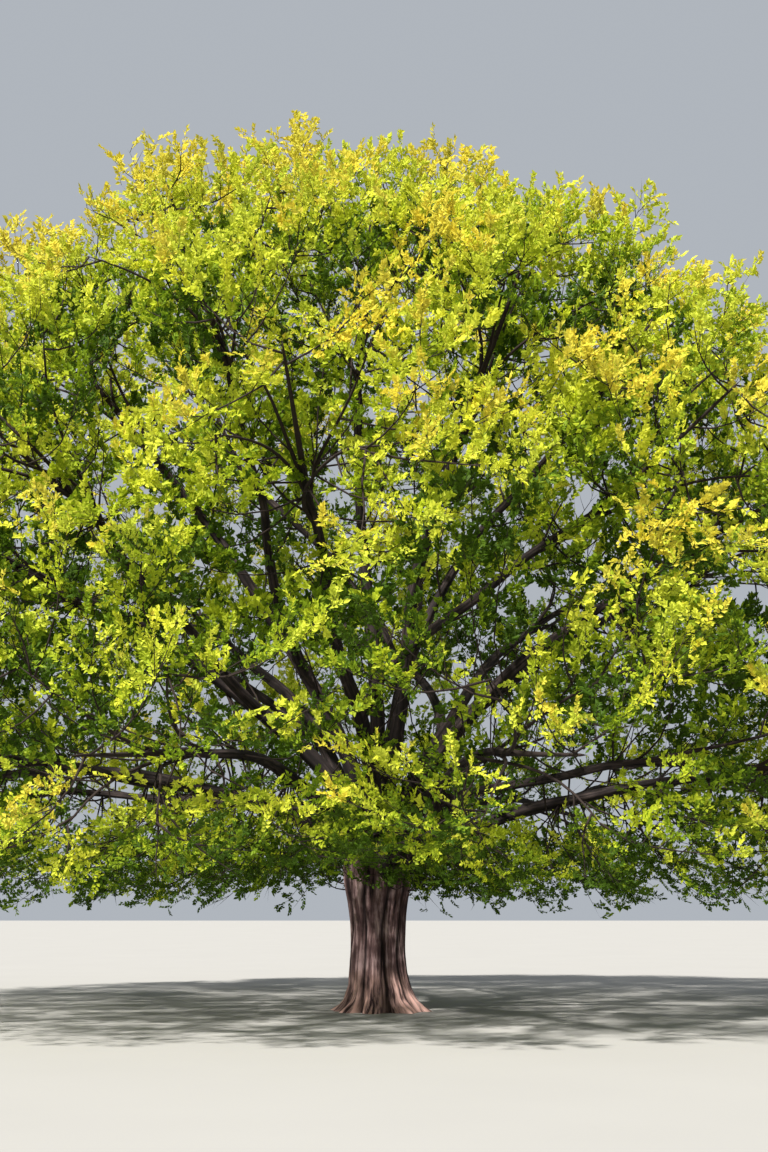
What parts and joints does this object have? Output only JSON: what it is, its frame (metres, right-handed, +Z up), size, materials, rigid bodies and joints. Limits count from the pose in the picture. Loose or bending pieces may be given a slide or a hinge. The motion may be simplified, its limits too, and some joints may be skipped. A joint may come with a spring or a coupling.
{
  "type": "american elm",
  "caption": "Open-grown elm in spring leaf: short fluted trunk with a flared foot, a fan of forking boughs and a broad domed crown in layered masses of yellow-green leaves.",
  "frame": {"origin": "centre of the flat cut under the trunk, at ground level", "axes": "+Z up along the trunk; -Y is the side seen in the picture, with +X to the viewer's right"},
  "size_m": [24.2407, 23.7522, 16.818],
  "materials": {
    "bark": "rough grey-brown bark with vertical flutes",
    "leaves_yellow": "matt yellow-green spring leaves",
    "leaves_green": "matt fresh green leaves"
  },
  "bodies": {
    "root": {"trunk": "bark", "skirt_bough_1": "bark", "skirt_bough_2": "bark", "skirt_bough_3": "bark", "skirt_bough_4": "bark", "skirt_bough_5": "bark", "skirt_bough_6": "bark", "skirt_bough_7": "bark", "skirt_bough_8": "bark", "skirt_bough_9": "bark", "skirt_bough_10": "bark", "skirt_bough_11": "bark", "shoulder_bough_1": "bark", "shoulder_bough_2": "bark", "shoulder_bough_3": "bark", "shoulder_bough_4": "bark", "shoulder_bough_5": "bark", "shoulder_bough_6": "bark", "shoulder_bough_7": "bark", "shoulder_bough_8": "bark", "shoulder_bough_9": "bark", "shoulder_bough_10": "bark", "upper_bough_1": "bark", "upper_bough_2": "bark", "upper_bough_3": "bark", "upper_bough_4": "bark", "upper_bough_5": "bark", "upper_bough_6": "bark", "top_bough_1": "bark", "skirt_foliage_1": "leaves_yellow", "skirt_foliage_2": "leaves_green", "skirt_foliage_3": "leaves_yellow", "skirt_foliage_4": "leaves_green", "skirt_foliage_5": "leaves_yellow", "skirt_foliage_6": "leaves_green", "skirt_foliage_7": "leaves_yellow", "skirt_foliage_8": "leaves_green", "skirt_foliage_9": "leaves_yellow", "skirt_foliage_10": "leaves_green", "skirt_foliage_11": "leaves_yellow", "shoulder_foliage_1": "leaves_yellow", "shoulder_foliage_2": "leaves_green", "shoulder_foliage_3": "leaves_yellow", "shoulder_foliage_4": "leaves_green", "shoulder_foliage_5": "leaves_yellow", "shoulder_foliage_6": "leaves_green", "shoulder_foliage_7": "leaves_yellow", "shoulder_foliage_8": "leaves_green", "shoulder_foliage_9": "leaves_yellow", "shoulder_foliage_10": "leaves_green", "upper_foliage_1": "leaves_yellow", "upper_foliage_2": "leaves_green", "upper_foliage_3": "leaves_yellow", "upper_foliage_4": "leaves_green", "upper_foliage_5": "leaves_yellow", "upper_foliage_6": "leaves_green", "top_foliage_1": "leaves_yellow"}
  },
  "joints": []
}
